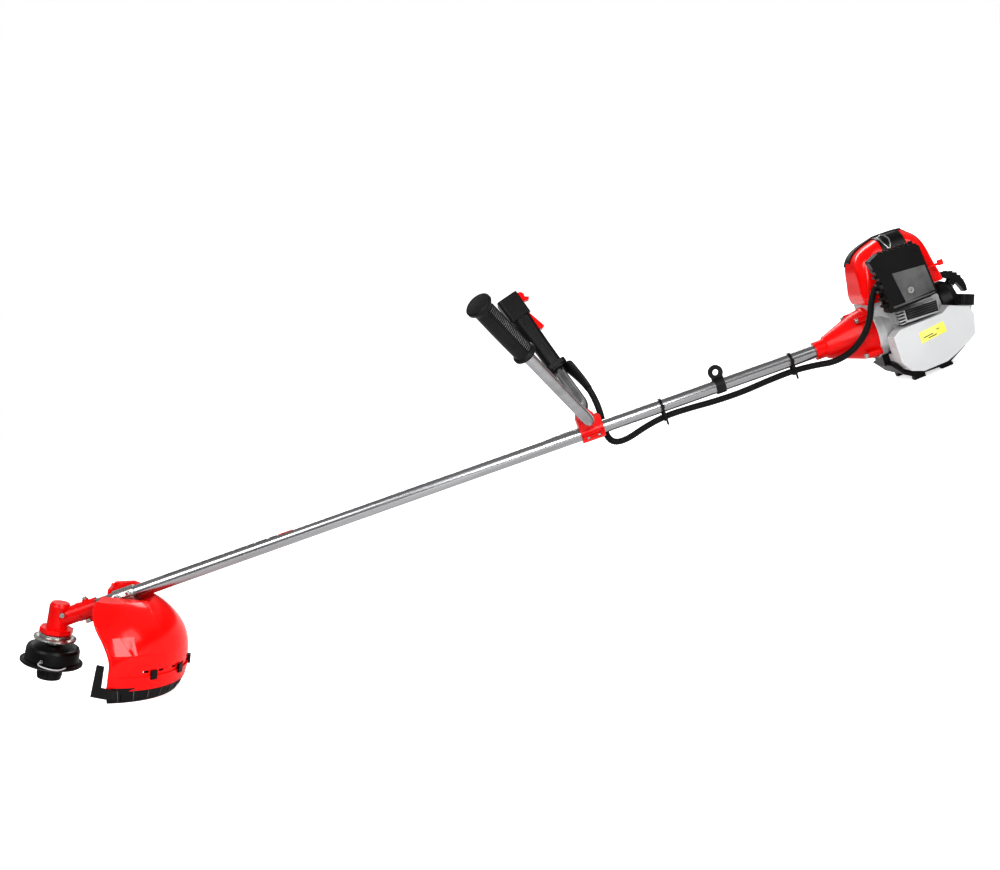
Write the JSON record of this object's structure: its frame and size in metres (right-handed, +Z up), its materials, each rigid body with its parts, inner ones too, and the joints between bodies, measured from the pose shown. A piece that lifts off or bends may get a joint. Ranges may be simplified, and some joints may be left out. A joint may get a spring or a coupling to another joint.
{
  "type": "string trimmer",
  "caption": "Petrol brush cutter with a tap-feed nylon line head, curved guard, straight tube shaft, two-arm handlebar with throttle grip, and a rear two-stroke engine.",
  "frame": {"origin": "middle of the footprint box, on the floor that the guard's rim and the engine stand lie on", "axes": "+X along the machine from the cutting head to the engine, +Y to the operator's right, +Z up"},
  "size_m": [1.9112, 0.5168, 0.469],
  "materials": {
    "tube_aluminium": "satin",
    "red_paint": "gloss",
    "red_plastic": "gloss",
    "black_plastic": "satin",
    "black_rubber": "matte",
    "zinc_steel": "satin",
    "dark_steel": "satin",
    "cast_alloy": "cast",
    "tank_plastic": "translucent",
    "nylon_line": "satin"
  },
  "bodies": {
    "root": {"air_filter_base": "black_plastic", "air_filter_cover": "black_plastic", "cable_ties": "black_plastic", "carburettor": "cast_alloy", "clamp_base": "red_paint", "clamp_bolts": "zinc_steel", "clamp_cap": "red_paint", "clutch_housing": "red_paint", "control_grip_left": "black_plastic", "control_grip_right": "black_plastic", "crankcase": "cast_alloy", "cylinder": "cast_alloy", "engine_bolts": "zinc_steel", "engine_cover": "red_plastic", "engine_stand": "black_plastic", "fan_case": "cast_alloy", "fuel_tank": "tank_plastic", "gearcase": "red_paint", "guard_bracket": "zinc_steel", "guard_clips": "black_plastic", "guard_edge_strip": "black_plastic", "guard_extension": "red_plastic", "guard_shell": "red_plastic", "handlebar_tube": "tube_aluminium", "harness_hanger": "dark_steel", "head_end_bolts": "zinc_steel", "left_grip": "black_rubber", "line_cutter": "dark_steel", "muffler": "zinc_steel", "muffler_cover": "black_plastic", "shaft_bearings": "dark_steel", "shaft_tube": "tube_aluminium", "spark_plug": "zinc_steel", "starter_housing": "black_plastic", "throttle_hose": "black_rubber"},
    "head": {"output_gear": "dark_steel", "output_spindle": "dark_steel", "spindle_flange": "zinc_steel", "head_housing": "black_plastic", "head_cover": "black_plastic", "line_spool": "black_plastic", "line_eyelets": "zinc_steel", "head_spring": "dark_steel", "trimmer_line": "nylon_line"},
    "knob": {"tap_knob": "black_plastic"},
    "drive": {"drive_shaft": "dark_steel", "drive_pinion": "dark_steel", "clutch_drum": "dark_steel"},
    "crank": {"crankshaft": "dark_steel", "flywheel": "cast_alloy", "clutch_shoes": "dark_steel"},
    "trigger": {"throttle_trigger": "black_plastic"},
    "lockout": {"throttle_lockout": "red_plastic"},
    "switch": {"stop_switch": "red_plastic"},
    "choke": {"choke_lever": "red_plastic"},
    "primer": {"primer_bulb": "black_rubber"},
    "throttle": {"throttle_lever": "dark_steel"},
    "cap": {"fuel_cap": "black_plastic"},
    "pulley": {"starter_pulley": "black_plastic"},
    "handle": {"starter_handle": "black_plastic"}
  },
  "joints": [
    {"name": "head_spin", "type": "hinge", "parent": "root", "child": "head", "pos_m": [-0.86319, -0.00076, 0.20185], "axis": [0.5488, 0, 0.836], "continuous": true},
    {"name": "shaft_spin", "type": "hinge", "parent": "root", "child": "drive", "pos_m": [-0.86319, -0.00076, 0.20185], "axis": [0.9984, 0, -0.0573], "continuous": true},
    {"name": "crank_spin", "type": "hinge", "parent": "root", "child": "crank", "pos_m": [0.82404, -0.00076, 0.10508], "axis": [0.9984, 0, -0.0573], "continuous": true},
    {"name": "knob_tap", "type": "slide", "parent": "head", "child": "knob", "axis": [0.5488, 0, 0.836], "range_m": [0, 0.006], "stiffness_N_per_m": 2500, "springref_m": -0.002},
    {"name": "trigger_pull", "type": "hinge", "parent": "root", "child": "trigger", "pos_m": [0.15489, 0.21886, 0.36303], "axis": [0.0182, -0.9481, 0.3175], "range_deg": [0, 14], "stiffness_Nm_per_rad": 0.6, "springref_deg": -11.46},
    {"name": "lockout_press", "type": "hinge", "parent": "root", "child": "lockout", "pos_m": [0.17935, 0.22321, 0.3746], "axis": [-0.0182, 0.9481, -0.3175], "range_deg": [0, 7], "stiffness_Nm_per_rad": 0.6, "springref_deg": -11.46},
    {"name": "switch_flip", "type": "hinge", "parent": "root", "child": "switch", "pos_m": [0.17714, 0.23487, 0.40955], "axis": [-0.0182, 0.9481, -0.3175], "range_deg": [0, 12]},
    {"name": "choke_turn", "type": "hinge", "parent": "root", "child": "choke", "pos_m": [0.856, -0.06476, 0.17336], "axis": [0.9984, 0, -0.0573], "range_deg": [0, 30]},
    {"name": "primer_press", "type": "slide", "parent": "root", "child": "primer", "axis": [0.0573, 0, 0.9984], "range_m": [0, 0.004], "stiffness_N_per_m": 400, "springref_m": -0.001},
    {"name": "throttle_open", "type": "hinge", "parent": "root", "child": "throttle", "pos_m": [0.81407, -0.06476, 0.17577], "axis": [0.9984, 0, -0.0573], "range_deg": [0, 60]},
    {"name": "cap_turn", "type": "hinge", "parent": "root", "child": "cap", "pos_m": [0.91877, -0.06876, 0.09764], "axis": [0.3953, 0, 0.9186], "range_deg": [0, 350]},
    {"name": "pulley_turn", "type": "hinge", "parent": "root", "child": "pulley", "pos_m": [0.90391, -0.00076, 0.1005], "axis": [0.9984, 0, -0.0573], "range_deg": [0, 1000]},
    {"name": "handle_pull", "type": "slide", "parent": "root", "child": "handle", "axis": [0.7464, 0, 0.6655], "range_m": [0, 0.45], "stiffness_N_per_m": 20, "springref_m": -0.2}
  ],
  "couplings": [
    {"joint": "shaft_spin", "follows": "head_spin", "ratio": 1.3333},
    {"joint": "throttle_open", "follows": "trigger_pull", "ratio": 4},
    {"joint": "pulley_turn", "follows": "handle_pull", "rad_per_m": 34.722}
  ]
}
